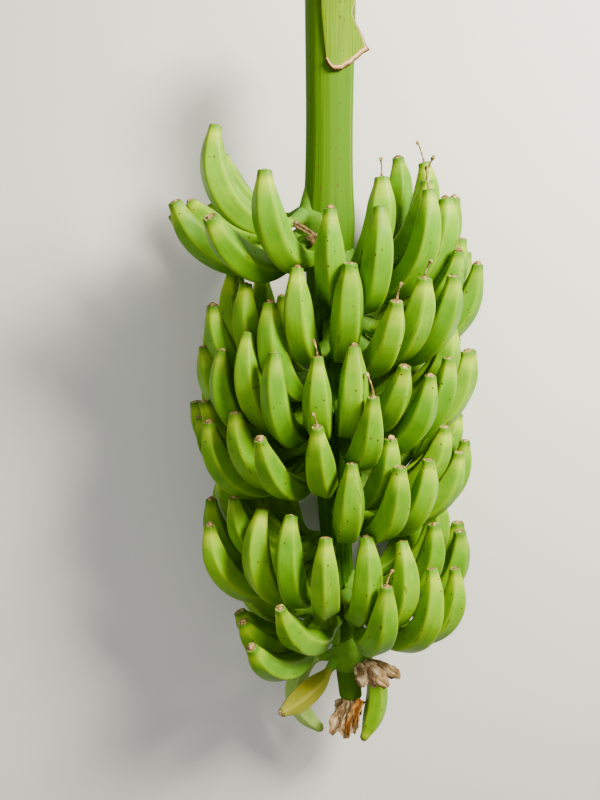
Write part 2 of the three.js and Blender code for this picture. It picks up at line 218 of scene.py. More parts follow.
class Bunch:
    """Every fruit of the bunch, in the order of the hands."""

    def __init__(self):
        rows = []
        for n, (_, side, level, girth, rise, reach, *rest) in enumerate(HANDS):
            for r, (placed_fruits, fan) in enumerate((rest[2:4], rest[4:])):
                count, first, step, low, high, length = fan
                number = n * HAND_STEP + r * ROW_STEP
                fruits = [(*fruit, HOLD) for fruit in placed_fruits]
                for i in range(count):
                    foot = first + step * i
                    aimed, sunk, lifted, longer = (
                        far * whim(j, number + len(placed_fruits) + i) for j, far in enumerate(STRAY, 1)
                    )
                    fruits.append((
                        foot, foot + aimed, low + sunk, high + lifted, length * (1 + longer), 1.0
                    ))
                for i, (foot, turn, *shape) in enumerate(fruits):
                    rows.append((n, r, i, number + i, i < rest[r], side * foot, side * turn,
                                 *shape, level + r * rise, reach - INNER_BACK * r, girth))
        (self.hand, self.inner, self.place, self.number, self.free, self.foot, self.turn, self.low,
         self.high, self.length, self.give, self.level, self.start, self.girth) = map(np.array, zip(*rows))
        self.turn, self.low, self.high = (v.astype(float) for v in (self.turn, self.low, self.high))
        self.press_apart()
        self.lines = self.centre_lines(self.turn, self.low, self.high)

    def centre_lines(self, turn, low, high):
        along = heading(
            turned(self.foot[:, None], turn[:, None], MIDWAY), risen(low[:, None], high[:, None], MIDWAY)
        )
        foot = np.stack((lean(self.level), self.level, 0 * self.level), -1)
        foot = foot + heading(np.radians(self.foot), 0 * self.level) * self.start[:, None]
        run = np.concatenate((np.zeros_like(foot)[:, None], np.cumsum(along, 1)), 1)
        return foot[:, None] + run * (self.length / STEPS)[:, None, None]

    def press_apart(self):
        """Crowded fruits press one another aside, a little in each round, until none overlap."""
        count = len(self.turn)
        shares = np.arange(STEPS + 1) / STEPS
        radii = np.interp(shares, FRUIT_STATIONS, FRUIT_RADII)[None] * self.girth[:, None]
        first, second = np.triu_indices(count, 1)
        for _ in range(PRESS_ROUNDS):
            state = [self.turn, self.low, self.high]
            lines = self.centre_lines(*state)
            ways = np.stack([
                self.centre_lines(*[v + (c == which) for c, v in enumerate(state)]) - lines
                for which in range(3)
            ])
            low, high = lines.min(1) - PRESS_REACH, lines.max(1) + PRESS_REACH
            near = ((low[first] <= high[second]) & (high[first] >= low[second])).all(1)
            a, b = first[near], second[near]
            apart = np.linalg.norm(lines[a][:, :, None] - lines[b][:, None], axis=-1)
            depth = radii[a][:, :, None] + radii[b][:, None] + PRESS_GAP - apart
            kin = self.hand[a] == self.hand[b]
            depth[kin, :NECK_STEPS] = -1
            depth[kin, :, :NECK_STEPS] = -1
            flat = depth.reshape(len(a), -1)
            worst = flat.argmax(1)
            deep = flat[np.arange(len(a)), worst]
            hit = deep > 0
            a, b, deep = a[hit], b[hit], deep[hit]
            at_a, at_b = np.divmod(worst[hit], STEPS + 1)
            away = lines[a, at_a] - lines[b, at_b]
            away /= np.linalg.norm(away, axis=1)[:, None]
            push, hits = np.zeros((count, 3)), np.zeros(count)
            for who, other, at, sign in ((a, b, at_a, 1), (b, a, at_b, -1)):
                share = self.give[who] / (self.give[who] + self.give[other])
                slopes = np.einsum("cpx,px->pc", ways[:, who, at], away * sign)
                gain = slopes / ((slopes ** 2).sum(1) + PRESS_DAMPING)[:, None] * (deep * share)[:, None]
                np.add.at(push, who, gain)
                np.add.at(hits, who, 1)
            push = np.clip(push / np.sqrt(np.maximum(hits, 1))[:, None], -PRESS_LIMIT, PRESS_LIMIT)
            self.turn, self.low, self.high = (v + push[:, c] for c, v in enumerate(state))

    def place_on(self, i, share):
        """Points and axes (side, lift, along) on fruit i at shares of its length, past its ends too."""
        def facing(at):
            return heading(turned(self.foot[i], self.turn[i], at), risen(self.low[i], self.high[i], at))

        inside = np.clip(share, 0, 1)
        k = np.minimum((inside * STEPS).astype(int), STEPS - 1)
        u = (inside * STEPS - k)[:, None]
        pace = self.length[i] / STEPS
        start, end = self.lines[i][k], self.lines[i][k + 1]
        point = between(start, end, pace * facing(k / STEPS), pace * facing((k + 1) / STEPS), u)
        along = facing(inside)
        point = point + along * ((share - inside) * self.length[i])[:, None]
        turn = turned(self.foot[i], self.turn[i], inside)
        side = np.stack((np.cos(turn), 0 * turn, -np.sin(turn)), -1)
        return point, side, np.cross(side, along), along


def laid(points):
    """Points of the stalk's frame in millimetres, carried to the lying bunch in metres."""
    m = np.array(LYING)
    return np.asarray(points, float) @ m[:3, :3].T + m[:3, 3]


def around(middle, side, lift, turn, r):
    """Points at a radius about a line, from its two cross axes."""
    return middle + side * (np.cos(turn) * r)[:, None] + lift * (np.sin(turn) * r)[:, None]


def about_stalk(middle, turn, r, level):
    """Points at a radius about the stalk, whose middle stands aside from X = 0."""
    return np.stack((middle + np.sin(turn) * r, level, np.cos(turn) * r), -1)


# Meshes
POLE = 0.02  # radius of the last ring at a closed end, before it is drawn to a point


def placed(name, data):
    """A new object in the scene."""
    made = bpy.data.objects.new(name, data)
    bpy.context.scene.collection.objects.link(made)
    return made


def into_mesh(bm, name):
    """A mesh from a bmesh that is then done with."""
    mesh = bpy.data.meshes.new(name)
    bm.to_mesh(mesh)
    bm.free()
    return mesh


def tube(sides, rings, cap_from=None):
    """A straight closed tube up Z, from rings of (height, radius). Faces above cap_from take finish 1."""
    bm = bmesh.new()
    height, radius = rings[0]
    start = bmesh.ops.create_circle(
        bm, segments=sides, radius=radius, matrix=Matrix.Translation((0, 0, height))
    )["verts"]
    edges = bm.edges[:]
    for z, r in rings[1:]:
        grown = bmesh.ops.extrude_edge_only(bm, edges=edges)["geom"]
        rim = [g for g in grown if isinstance(g, bmesh.types.BMVert)]
        fresh = set(rim)
        edges = [g for g in grown if isinstance(g, bmesh.types.BMEdge) and fresh.issuperset(g.verts)]
        bmesh.ops.scale(bm, verts=rim, vec=(r / radius, r / radius, 1))
        bmesh.ops.translate(bm, verts=rim, vec=(0, 0, z - height))
        height, radius = z, r
    for verts, z in ((start, rings[0][0]), (rim, rings[-1][0])):
        bmesh.ops.pointmerge(bm, verts=verts, merge_co=(0, 0, z))
    bmesh.ops.recalc_face_normals(bm, faces=bm.faces)
    for face in bm.faces:
        face.smooth = True
        if cap_from is not None and face.calc_center_median().z > cap_from:
            face.material_index = 1
    return into_mesh(bm, "straight")


def corners_of(mesh):
    at = np.empty(len(mesh.vertices) * 3)
    mesh.vertices.foreach_get("co", at)
    return at.reshape(-1, 3)


def round_z(mesh):
    """Turn, radius and height of each corner of a straight tube."""
    x, y, z = corners_of(mesh).T
    return np.arctan2(y, x), np.hypot(x, y), z


def take_finish(mesh, index):
    mesh.polygons.foreach_set("material_index", np.full(len(mesh.polygons), index, np.int32))


def joined(name, parts):
    """One mesh of several parts. A part is a mesh, its points, and where its finish reads them the two
    maps unbent and looks, of three numbers for each point."""
    bm = bmesh.new()
    for mesh, *_ in parts:
        bm.from_mesh(mesh)
    whole = into_mesh(bm, name)
    filled = [(*part, *[np.zeros_like(part[1])] * (4 - len(part))) for part in parts]
    points, unbent, looks = (np.concatenate([part[c] for part in filled]).ravel() for c in (1, 2, 3))
    whole.vertices.foreach_set("co", points)
    for key, values in (("unbent", unbent), ("looks", looks)):
        whole.attributes.new(key, "FLOAT_VECTOR", "POINT").data.foreach_set("vector", values)
    whole.update()
    return whole


def piece(name, mesh, finishes, slot, *nodes):
    """A piece of the bunch that rides with it and stands for its CAD nodes."""
    made = placed(name, mesh)
    for finish in finishes:
        mesh.materials.append(finish)
    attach(made, "root")
    if nodes:
        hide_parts(*nodes)


def baked(mesh, *modifiers):
    """The mesh with modifiers applied, each (kind, settings)."""
    carrier = placed("carrier", mesh)
    for kind, settings in modifiers:
        modifier = carrier.modifiers.new(kind, kind)
        for key, value in settings.items():
            setattr(modifier, key, value)
    seen = carrier.evaluated_get(bpy.context.evaluated_depsgraph_get())
    made = bpy.data.meshes.new_from_object(seen)
    bpy.data.objects.remove(carrier)
    bpy.data.meshes.remove(mesh)
    return made


# Fruit
FACETS = 5  # a banana has five soft edges
SIDES = 40
PEEL_STATIONS = (-0.06, 0, 0.06, 0.12, 0.18, 0.25, 0.35, 0.48, 0.62, 0.74, 0.82, 0.88, 0.93, 0.96, 0.985, 1)
PEEL_RADII = (5.0, 5.0, 5.1, 6.3, 8.6, 11.2, 13.7, 15.2, 15.4, 14.5, 12.6, 10.3, 8.1, 6.9, 6.3, 6.0)
# Rings of a closed end or a small part, each (share of the length or height, radius).
TIP_RINGS = (
    (1.0025, 5.7), (1.0055, 5.0), (1.0065, 4.5), (1.0055, 4.0), (1.0035, 3.5), (1.004, 2.7), (1.009, 2.1),
    (1.012, 1.3), (1.012, POLE),
)
SCAR_FROM = 1.0042  # beyond it lies the brown scar
BODY_RINGS = 46
EDGE_ROUND = 0.055  # radians at a soft edge that are rounded off
EDGE_WIDTH = 0.12  # radians
EDGE_STATIONS = (0.0, 0.16, 0.3, 0.8, 0.97)
EDGE_SHARES = (0.25, 0.7, 1, 1, 0.35)
EDGES_TURNED = 0.6  # radians, at most, by which a fruit's edges are turned about it
LUMPS = 0.17  # mm by which a fruit is uneven
FATTER = 0.035  # share by which fruits differ in girth
BLUNT, BLUNTER = 0.06, 0.1  # how much fuller a tip is than the rule, and how far that differs
BLUNT_FROM, BLUNT_SPAN = 0.72, 0.2
APART = 0.4  # metres that a fruit's pattern is shifted, so that no two look alike
PRESSED = 0.001  # below this height the bunch's weight presses its lowest fruit flat
PRESSED_TO = 0.2  # of what would lie below it


def straight_fruit(first):
    """The fruit before it is bent, from a share of its length (below 0 lies inside the crown)."""
    shares = 0.5 - 0.5 * np.cos(np.linspace(0, math.pi, BODY_RINGS))
    shares = first + (1 - first) * (0.6 * shares + 0.4 * np.linspace(0, 1, BODY_RINGS))
    rings = [(first, POLE)]
    rings += [(float(s), float(smooth_line(s, PEEL_STATIONS, PEEL_RADII))) for s in shares]
    mesh = tube(SIDES, rings + list(TIP_RINGS), SCAR_FROM)
    mesh.flip_normals()  # the bend mirrors the fruit, which turns its faces outward again
    return mesh


def soft_corners(turn, phase, sharpness):
    """Radius and nearness to an edge round a five-sided section with rounded edges."""
    wedge = math.pi / FACETS
    away = np.abs((turn - phase + wedge) % (2 * wedge) - wedge)
    soft = np.sqrt(away ** 2 + EDGE_ROUND ** 2) - EDGE_ROUND * (1 - away / wedge)
    flat = math.cos(wedge) / np.cos(wedge - soft)
    return 1 - sharpness * (1 - flat), hill(away, EDGE_WIDTH)


def bent_fruit(bunch, i, template):
    """Part for one fruit: the straight template carried on to the fruit's centre line."""
    turn, radius, share = round_z(template)
    k = int(bunch.number[i])
    sizes = bpy.context.scene.bunch_sizes
    body = np.interp(share, EDGE_STATIONS, EDGE_SHARES)
    corner, ridge = soft_corners(turn, whim(11, k) * EDGES_TURNED, sizes.angularity * body)
    lump = (
        np.sin(turn + 9 * share + 6 * whim(12, k)) + np.sin(2 * turn - 13 * share + 6 * whim(13, k))
    ) * LUMPS * body
    fat = bunch.girth[i] * (1 + FATTER * whim(14, k))
    blunt = 1 + (BLUNT + BLUNTER * whim(19, k)) * eased((share - BLUNT_FROM) / BLUNT_SPAN)
    r = radius * fat * corner * blunt + lump * (radius > 1)
    point, side, lift, _ = bunch.place_on(i, share)
    at = laid(around(point, side, lift, turn, r))
    at[:, 2] = np.where(at[:, 2] < PRESSED, PRESSED + PRESSED_TO * (at[:, 2] - PRESSED), at[:, 2])
    away = APART * np.array((whim(15, k), whim(16, k), whim(17, k)))
    unbent = np.stack((np.cos(turn) * r, np.sin(turn) * r, share * bunch.length[i]), -1) * 0.001 + away
    return template, at, unbent, np.stack((share, ridge * body, np.full_like(share, whim(18, k))), -1)


WITHERED_RINGS = (
    (0, POLE), (0, 2.0), (1.5, 1.4), (5, 1.0), (9, 0.85), (13, 0.75), (16, 0.9), (17.5, 1.7), (19, 2.1),
    (20.5, 1.6), (21, POLE),
)
STUB_RINGS = (
    (0.4, POLE), (0.4, 4.3), (1.1, 4.7), (1.8, 4.0), (2.5, 3.3), (3.2, 2.7), (3.8, 1.5), (3.9, POLE),
)
THREADS = (42, 61, 62, 82, 83, 120, 160, 320)  # numbers of the fruits that keep a thread
CURLED_BY = {"thread": 21.0, "stub": 14.0}  # length in which a dried flower curls over
CURL, CURL_STRAY = 30, 35
CRUMPLED = 0.22


def dried_flower(bunch, i, template, longest):
    """Part for the dried flower at a fruit's tip: a crumpled stub, or a thread with a knob."""
    turn, radius, height = round_z(template)
    k = int(bunch.number[i])
    point, side, lift, along = (v[0] for v in bunch.place_on(i, np.array([1.0])))
    curl = np.radians(CURL + CURL_STRAY * whim(21, k)) * height / longest
    swing = math.pi * whim(22, k)
    sway = side * math.cos(swing) + lift * math.sin(swing)
    reach = height * (1.1 + 0.25 * whim(23, k))
    spine = along * (reach * np.cos(curl * 0.5))[:, None] + sway * (reach * np.sin(curl * 0.5))[:, None]
    inward = sway * np.cos(curl)[:, None] - along * np.sin(curl)[:, None]
    crumple = 1 + CRUMPLED * np.sin(3 * turn + 1.3 * height + 6 * whim(24, k)) * (height > 0.3)
    at = around(point + spine, inward, np.cross(along, sway), turn, radius * crumple)
    return template, laid(at)


# Crowns
SHOULDERS = {0: ((9, 13), (4, 22), (0.5, 33), (-2, 46))}  # the first crown flares far up the stalk
SHOULDER = ((2.5, 11), (-1, 20))
CROWN_PAST = 2  # degrees beyond its outermost fruits
CROWN_STEP = 6  # degrees
CROWN_FADE = 60  # degrees in which its shoulder grows from either end
NECK_RADII = (8.6, 4.4)
NECK_DEPTH = 21
NECK_OUT = 5  # how far the necks stand out of the cushion
SHOULDER_UP = 5  # above the inner row, where the shoulder begins
SUNK = 2.5  # how deep in the stalk a faded shoulder lies
WRAP = 30  # degrees before the beginning that still count as before it
VOXEL = 0.0014


def drop_bubbles(mesh):
    """Deletes every loose shell but the largest: bubbles that a remesh leaves inside."""
    bm = bmesh.new()
    bm.from_mesh(mesh)
    left, shells = set(bm.verts), []
    while left:
        shell = front = [left.pop()]
        while front:
            reached = {v for vert in front for edge in vert.link_edges for v in edge.verts} & left
            left -= reached
            front = list(reached)
            shell = shell + front
        shells.append(shell)
    shells.sort(key=len)
    bmesh.ops.delete(bm, geom=[v for shell in shells[:-1] for v in shell], context="VERTS")
    bm.to_mesh(mesh)
    bm.free()


def crown_mesh(bunch, n):
    """The cushion on the stalk that carries a hand: a swept body with a swelling at each neck, grown
    together by a fine remesh and smoothed."""
    _, side, level, girth, rise, reach, *_ = HANDS[n]
    feet = side * bunch.foot[bunch.hand == n]
    begin, end = side * (float(feet.min()) - CROWN_PAST), side * (float(feet.max()) + CROWN_PAST)
    span = abs(end - begin)
    middle = Vector((float(lean(level)), level, 0))
    wall = float(wall_at(level))
    far = reach - NECK_OUT
    shift = float(aside(level))
    shoulder = SHOULDERS.get(n, SHOULDER)
    outline = (
        (wall - 5, -14), (wall + 1, -12), (far - 2.5, -6.5), (far, 0), (far - 0.5, rise - 2),
        (far - 3.5, rise + 4), *((wall + out, rise + up) for out, up in shoulder),
        (wall - 5, rise + shoulder[-1][1]),
    )
    bm = bmesh.new()
    verts = [bm.verts.new(middle + Vector((0, y, r))) for r, y in outline]
    edges = [bm.edges.new((a, b)) for a, b in zip(verts, verts[1:] + verts[:1])]
    bmesh.ops.rotate(
        bm, verts=verts, cent=middle, matrix=Matrix.Rotation(math.radians(begin), 3, "Y")
    )
    bmesh.ops.spin(
        bm, geom=verts + edges, cent=middle, axis=(0, 1, 0), angle=math.radians(end - begin),
        steps=max(4, round(span / CROWN_STEP)), use_duplicate=False,
    )
    bmesh.ops.holes_fill(bm, edges=[e for e in bm.edges if e.is_boundary])
    for vert in bm.verts:
        out = vert.co - middle
        up, out.y = out.y, 0
        turn = math.degrees(math.atan2(out.x, out.z)) * side
        inside = (turn - side * begin + WRAP) % 360 - WRAP
        fade = float(eased(min(inside, span - inside) / CROWN_FADE))
        far_out = out.length
        over = up - rise - SHOULDER_UP
        if over > 0:
            far_out = float(wall_at(level + up)) - SUNK + (far_out - wall + SUNK) * fade
            up = rise + SHOULDER_UP + over * (0.3 + 0.7 * fade)
        pull = shift * (1 - float(eased((far_out - wall) / (far - wall))))
        vert.co = middle + out.normalized() * far_out + Vector((pull, up, 0))
    for i in np.flatnonzero(bunch.hand == n):
        point, _, _, along = (v[0] for v in bunch.place_on(i, np.array([0.02])))
        place = Matrix.Translation(point) @ Vector(along).to_track_quat("Z", "Y").to_matrix().to_4x4()
        base, top = (radius * girth for radius in NECK_RADII)
        bmesh.ops.create_cone(
            bm, cap_ends=True, segments=14, radius1=base, radius2=top, depth=NECK_DEPTH, matrix=place
        )
    bmesh.ops.recalc_face_normals(bm, faces=bm.faces)
    bmesh.ops.transform(bm, verts=bm.verts, matrix=LYING)
    made = baked(
        into_mesh(bm, "crown"),
        ("REMESH", {"mode": "VOXEL", "voxel_size": VOXEL, "use_smooth_shade": True}),
        ("SMOOTH", {"factor": 0.5, "iterations": 8}),
    )
    drop_bubbles(made)
    take_finish(made, 2)
    made.polygons.foreach_set("use_smooth", np.ones(len(made.polygons), bool))
    return made


# Stalk, sheath and dry scraps
RIBS = 19
FEW_RIBS = 11
STALK_SEGMENTS = 114
STALK_RING = 5.5
RIB_STATIONS = (14, 95, 130, 520, 575, 640, 845)
RIB_SHARES = (0.1, 0.2, 1, 1, 0.75, 0.22, 0.16)
SKIN_RADIUS = 28  # that the stalk's pattern is rolled on
COLLAR_BELOW = 17  # a ring of scar tissue under each hand
COLLAR_WIDTH = 2.4
COLLAR_RISE = 1.3


def stalk_part():
    """The ridged stalk: smooth and round at the cut, ribbed between the hands, thin at the flower end."""
    levels = np.append(np.arange(STALK_FOOT, STALK_TOP - 1, STALK_RING), STALK_TOP - 1.2)
    rings = [(STALK_FOOT, POLE), (STALK_FOOT, 6.0)]
    rings += [(float(y), float(smooth_line(y, STALK_STATIONS, STALK_RADII))) for y in levels[1:]]
    top = rings[-1][1]
    rings += [(STALK_TOP, top - 1.0), (STALK_TOP - 0.2, top - 3), (STALK_TOP - 0.8, top * 0.62),
              (STALK_TOP - 1.4, top * 0.3), (STALK_TOP - 1.5, POLE)]
    template = tube(STALK_SEGMENTS, rings, STALK_TOP - 1.55)
    turn, radius, level = round_z(template)
    height = bpy.context.scene.bunch_sizes.rib_height * 1000
    ribbed = np.interp(level, RIB_STATIONS, RIB_SHARES)
    drift = 0.35 * np.sin(level / 61 + 1.7 * turn) + 0.2 * np.sin(level / 23)
    rib = 0.62 * np.cos(RIBS * turn + drift) + 0.38 * np.cos(FEW_RIBS * turn + 1.1 - 0.5 * drift)
    skin = radius > POLE * 2
    grow = rib * ribbed * height * skin * np.clip(radius / 12, 0, 1)
    for n, (_, side, at, *_) in enumerate(HANDS[:10]):
        collar = hill(level - at + COLLAR_BELOW + 2.5 * np.sin(turn * 2 + n), COLLAR_WIDTH)
        facing = 0.5 + 0.5 * np.sin(turn) * side
        grow = grow + COLLAR_RISE * collar * facing * skin
    point = about_stalk(lean(level) + aside(level), turn, radius + grow, level)
    unbent = np.stack((np.cos(turn) * SKIN_RADIUS, np.sin(turn) * SKIN_RADIUS, level), -1) * 0.001
    return template, laid(point), unbent, np.stack((level / STALK_TOP, 0.5 + 0.5 * rib, 0 * level), -1)


def flat_grid(across, along):
    """A flat grid from -1 to 1 across and 0 to 1 along."""
    bm = bmesh.new()
    bmesh.ops.create_grid(
        bm, x_segments=across, y_segments=along, size=1,
        matrix=Matrix.Translation((0, 0.5, 0)) @ Matrix.Diagonal((1, 0.5, 1, 1)),
    )
    for face in bm.faces:
        face.smooth = True
    return into_mesh(bm, "flat")


def thick(mesh, wall):
    """A wall of even thickness from an open sheet."""
    return baked(mesh, ("SOLIDIFY", {"thickness": wall, "offset": 0.0, "use_rim": True}))


SHEATH_SIDES = (-22, 64)  # turn of the left and right edge at the cut end
RIM_SHARES = (0, 0.1, 0.25, 0.5, 0.75, 1)
RIM_LEVELS = (768, 761.5, 759.5, 764, 771, 781)
NOTCH_LEVEL = 815  # where the right edge is torn in
SHEATH_RADIUS = 29
SHEATH_OFF = 1.7  # how far the sheath stands off the stalk
FLARE = 9.5
LIP = 3.2


def sheath_part():
    """The torn sheath: a green skin about the front of the cut end, its lower rim dry and curled."""
    template = flat_grid(56, 44)
    x, v, _ = corners_of(template).T
    u = (x + 1) / 2
    fall = 1 - v
    rim = smooth_line(u, RIM_SHARES, RIM_LEVELS) + 0.6 * np.sin(31 * u) * u + 0.2 * np.sin(67 * u + 1)
    level = rim + (STALK_TOP - 1.5 - rim) * v
    left, right = SHEATH_SIDES
    begin = left + 14 * fall ** 1.5
    end = right + 16 * fall ** 3 - 16 * hill(level - NOTCH_LEVEL, 12)
    turn = np.radians(begin + (end - begin) * u)
    flare = FLARE * np.clip((u - 0.55) / 0.45, 0, 1) ** 2 * hill(level - rim, 22)
    lip = LIP * hill(level - rim, 3.0)
    r = wall_at(level) + SHEATH_OFF + flare + lip + 0.35 * np.sin(9 * turn + level / 17)
    unbent = np.stack((turn * SHEATH_RADIUS, level, 0 * level), -1) * 0.001
    worn = np.maximum(hill(level - rim, 4.6), hill(1 - u, 0.04))
    worn = np.maximum(worn, 0.5 * hill(u, 0.02))
    looks = np.stack((0 * worn, worn, 0 * worn), -1)
    return template, laid(about_stalk(STALK_ASIDE, turn, r, level)), unbent, looks


def scrap_part(base, start, end, length, width, curl, crumple, seed):
    """A dry papery leaf: from its base it runs along start and turns towards end, curled across."""
    template = flat_grid(12, 26)
    u, v, _ = corners_of(template).T
    start, end = Vector(start).normalized(), Vector(end).normalized()
    across = np.array(start.cross(end).normalized())
    fine = np.linspace(0, 1, 60)
    way = np.array([start.lerp(end, t).normalized() for t in fine])
    spine = np.concatenate((np.zeros((1, 3)), np.cumsum((way[1:] + way[:-1]) / 2, 0))) * length / 59
    middle = np.stack([np.interp(v, fine, spine[:, c]) for c in range(3)], -1) + np.array(base)
    along = np.stack([np.interp(v, fine, way[:, c]) for c in range(3)], -1)
    half = width * np.sin(np.pi * np.clip(0.12 + 0.8 * v, 0, 1)) ** 0.7
    half = half * (1 + 0.16 * np.sin(9 * v + seed) + 0.12 * np.sin(23 * v * u + seed))
    rolled = curl * u * (0.6 + 0.8 * v)
    point = (
        middle
        + across * (half * np.sin(rolled) / curl)[:, None]
        + np.cross(across, along) * (half * (1 - np.cos(rolled)) / curl)[:, None]
    )
    point = point + np.array([
        noise.noise_vector(Vector(p) * 0.11 + Vector((seed * 3.1, 0, 0)))
        + 0.45 * noise.noise_vector(Vector(p) * 0.33 + Vector((0, seed * 1.7, 0)))
        for p in point
    ]) * (crumple * (0.25 + 0.75 * v))[:, None]
    unbent = np.stack((u * width, v * length, 0 * u + seed * 40), -1) * 0.001
    return template, laid(point), unbent


def twig_part(base, way, sway, length, radius, seed):
    """A withered twig: a thin crooked tube."""
    rings = [(0, POLE)] + [
        (float(t), float(radius * (1 - 0.5 * t) * (1 + 0.18 * whim(41 + seed, j))))
        for j, t in enumerate(np.linspace(0, 1, 12))
    ] + [(1, POLE)]
    template = tube(7, rings)
    turn, r, t = round_z(template)
    way = Vector(way).normalized()
    side = way.orthogonal().normalized()
    lift = way.cross(side)
    middle = (
        np.array(base) + np.array(way) * (t * length)[:, None]
        + np.array(sway) * np.sin(np.pi * t * 0.9)[:, None]
        + np.array(side) * (0.4 * np.sin(6 * t + seed))[:, None]
    )
    return template, laid(around(middle, np.array(side), np.array(lift), turn, r))


# Finishes
FAINT_SHEEN = {"IOR": 1.45, "Specular IOR Level": 0.14}  # bloomed skin, dry tissue and matt paint
# Painted shade on the stalk where the hands cover it, by share of its height.
HAND_SHADE = ((0.0, 0.05), (0.1, 0.3), (0.16, 1), (0.6, 1), (0.7, 0.55), (0.76, 0))


def linear(hexed):
    """A linear colour from an sRGB hex value."""
    parts = (int(hexed[i:i + 2], 16) / 255 for i in (1, 3, 5))
    return tuple(c / 12.92 if c <= 0.04045 else ((c + 0.055) / 1.055) ** 2.4 for c in parts) + (1.0,)


def every(mm):
    """The scale of a pattern that repeats about every so many millimetres."""
    return 1000 / mm


def add_node(tree, kind, links=(), stops=(), **settings):
    """Adds a node with its settings and gives its outputs. links gives each socket, in order or by its
    number or name, a value or another node's output."""
    node = tree.nodes.new("ShaderNode" + kind)
    for key, value in settings.items():
        setattr(node, key, value)
    if stops:
        ramp = node.color_ramp.elements
        while len(ramp) < len(stops):
            ramp.new(0.5)
        for element, (at, colour) in zip(ramp, stops):
            element.position, element.color = at, colour
    for key, value in links.items() if isinstance(links, dict) else enumerate(links):
        if isinstance(value, bpy.types.NodeSocket):
            tree.links.new(value, node.inputs[key])
        else:
            node.inputs[key].default_value = value
    return node.outputs


def own_maps(add):
    """The piece's own maps: the place on its unbent shape, and the three numbers of its looks."""
    unbent, looks = (add("Attribute", attribute_name=key)["Vector"] for key in ("unbent", "looks"))
    return unbent, *add("SeparateXYZ", (looks,))


def fibres(add, where, stretch, mm, detail):
    """Noise some mm wide, drawn out long."""
    drawn = add("Mapping", {"Vector": where, "Scale": stretch})[0]
    return add("TexNoise", {"Vector": drawn, "Scale": every(mm), "Detail": detail})[0]


def layered(add, colour, *layers):
    """A colour with others laid over it, each (how much of it shows, colour)."""
    for shown, top in layers:
        colour = add("Mix", {0: shown, 6: colour, 7: top}, data_type="RGBA")[2]
    return colour


def specks(add, where, mm, rarity, size, edge, strength, **settings):
    """Round specks: each cell some mm wide holds a dot, or none where its luck is under the rarity."""
    cells = add("TexVoronoi", {"Vector": where, "Scale": every(mm)}, **settings)
    luck = add("SeparateColor", (cells["Color"],))[0]
    wide = add("MapRange", (luck, rarity, 1.0, 0.0, size))[0]
    dot = add("Math", (wide, cells["Distance"]), operation="SUBTRACT")[0]
    return add("MapRange", (dot, 0.0, edge, 0.0, strength))[0]


def peel(add, fresh, deep, lit, neck, tip):
    """Unripe banana peel, taut and waxy: a soft even gloss over fine lengthwise grain, paler along the
    five edges partly in its own colour and partly as painted highlight, with painted shade darkening the
    lower third, small brown specks and rubbed marks, and a green that differs from fruit to fruit."""
    unbent, share, ridge, tone = own_maps(add)
    # grain 3 mm wide and 40 mm long, over cloudy patches 30 mm across
    grain = fibres(add, unbent, (1, 1, 0.08), 3.03, 3.0)
    cloud = add("TexNoise", {"Vector": unbent, "Scale": every(29.4), "Detail": 2.0})[0]
    # painted shade: the lower third of each fruit a darker green, half fresh and half deep
    lower_shade = tuple((a + b) / 2 for a, b in zip(fresh, deep))
    # before the tip, the tip colour: for the green peel the lit yellow-green, painted light
    base = add("ValToRGB", (share,), (
        (0.0, neck), (0.15, lower_shade), (0.38, lower_shade), (0.6, fresh), (0.86, fresh), (0.95, tip), (1.0, deep)))[0]
    patch = add("MapRange", (cloud, 0.35, 0.7, 0.0, 0.7))[0]
    streak = add("MapRange", (grain, 0.4, 0.75, 0.0, 0.15))[0]
    # the edges paler, partly the peel's own colour and partly painted highlight in the lit colour
    edge = add("Math", (ridge, 0.38), operation="MULTIPLY")[0]
    edged = layered(add, base, (patch, deep), (streak, lit), (edge, lit))
    # the whole fruit a little yellower or bluer, lighter or darker
    hue = add("MapRange", (tone, -1.0, 1.0, 0.492, 0.507))[0]
    value = add("MapRange", (tone, -1.0, 1.0, 1.12, 0.86))[0]
    toned = add("HueSaturation", {"Hue": hue, "Value": value, "Color": edged})[0]
    speck = specks(add, unbent, 7.14, 0.3, 0.19, 0.02, 0.95)
    # rubbed marks 5 mm apart, thin and crooked, mostly on the edges
    strayed = add("Mapping", {"Vector": unbent, "Scale": (1, 1, 0.2), "Rotation": (0.5, 0.3, 0.2)})[0]
    rub = add("TexNoise", {"Vector": strayed, "Scale": every(4.76), "Detail": 5.0, "Distortion": 1.2})[0]
    low = add("MapRange", (ridge, 0.0, 1.0, 0.71, 0.585))[0]
    over = add("Math", (rub, low), operation="SUBTRACT")[0]
    mark = add("MapRange", (over, 0.0, 0.035, 0.0, 0.6))[0]
    marred = add("Math", (speck, mark), operation="MAXIMUM")[0]
    colour = layered(add, toned, (marred, linear("#3c3014")))
    gloss = add("MapRange", (cloud, 0.3, 0.7, 0.4, 0.52))[0]
    rough = add("Math", (marred, 0.25, gloss), operation="MULTIPLY_ADD")[0]
    pores = add("TexNoise", {"Vector": unbent, "Scale": every(1.111), "Detail": 2.0})[0]
    height = add("Math", (pores, 0.3, grain), operation="MULTIPLY_ADD")[0]
    return colour, rough, height, 0.00022, {"Coat Weight": 0.02, "Coat Roughness": 0.25}


def dry_tissue(add, dark, middle, pale, grain):
    """Dried flower or twig, shrunken and corky: dull, mottled from dark brown to straw."""
    where = add("TexCoord")["Object"]
    bits = add("TexNoise", {
        "Vector": where, "Scale": every(grain * 2.5), "Detail": 5.0, "Distortion": 0.6,
    })[0]
    colour = add("ValToRGB", (bits,), ((0.3, dark), (0.5, middle), (0.68, pale)))[0]
    fine = add("TexNoise", {"Vector": where, "Scale": every(grain), "Detail": 4.0})[0]
    rough = add("MapRange", (fine, 0.0, 1.0, 0.75, 0.95))[0]
    return colour, rough, fine, 0.0005


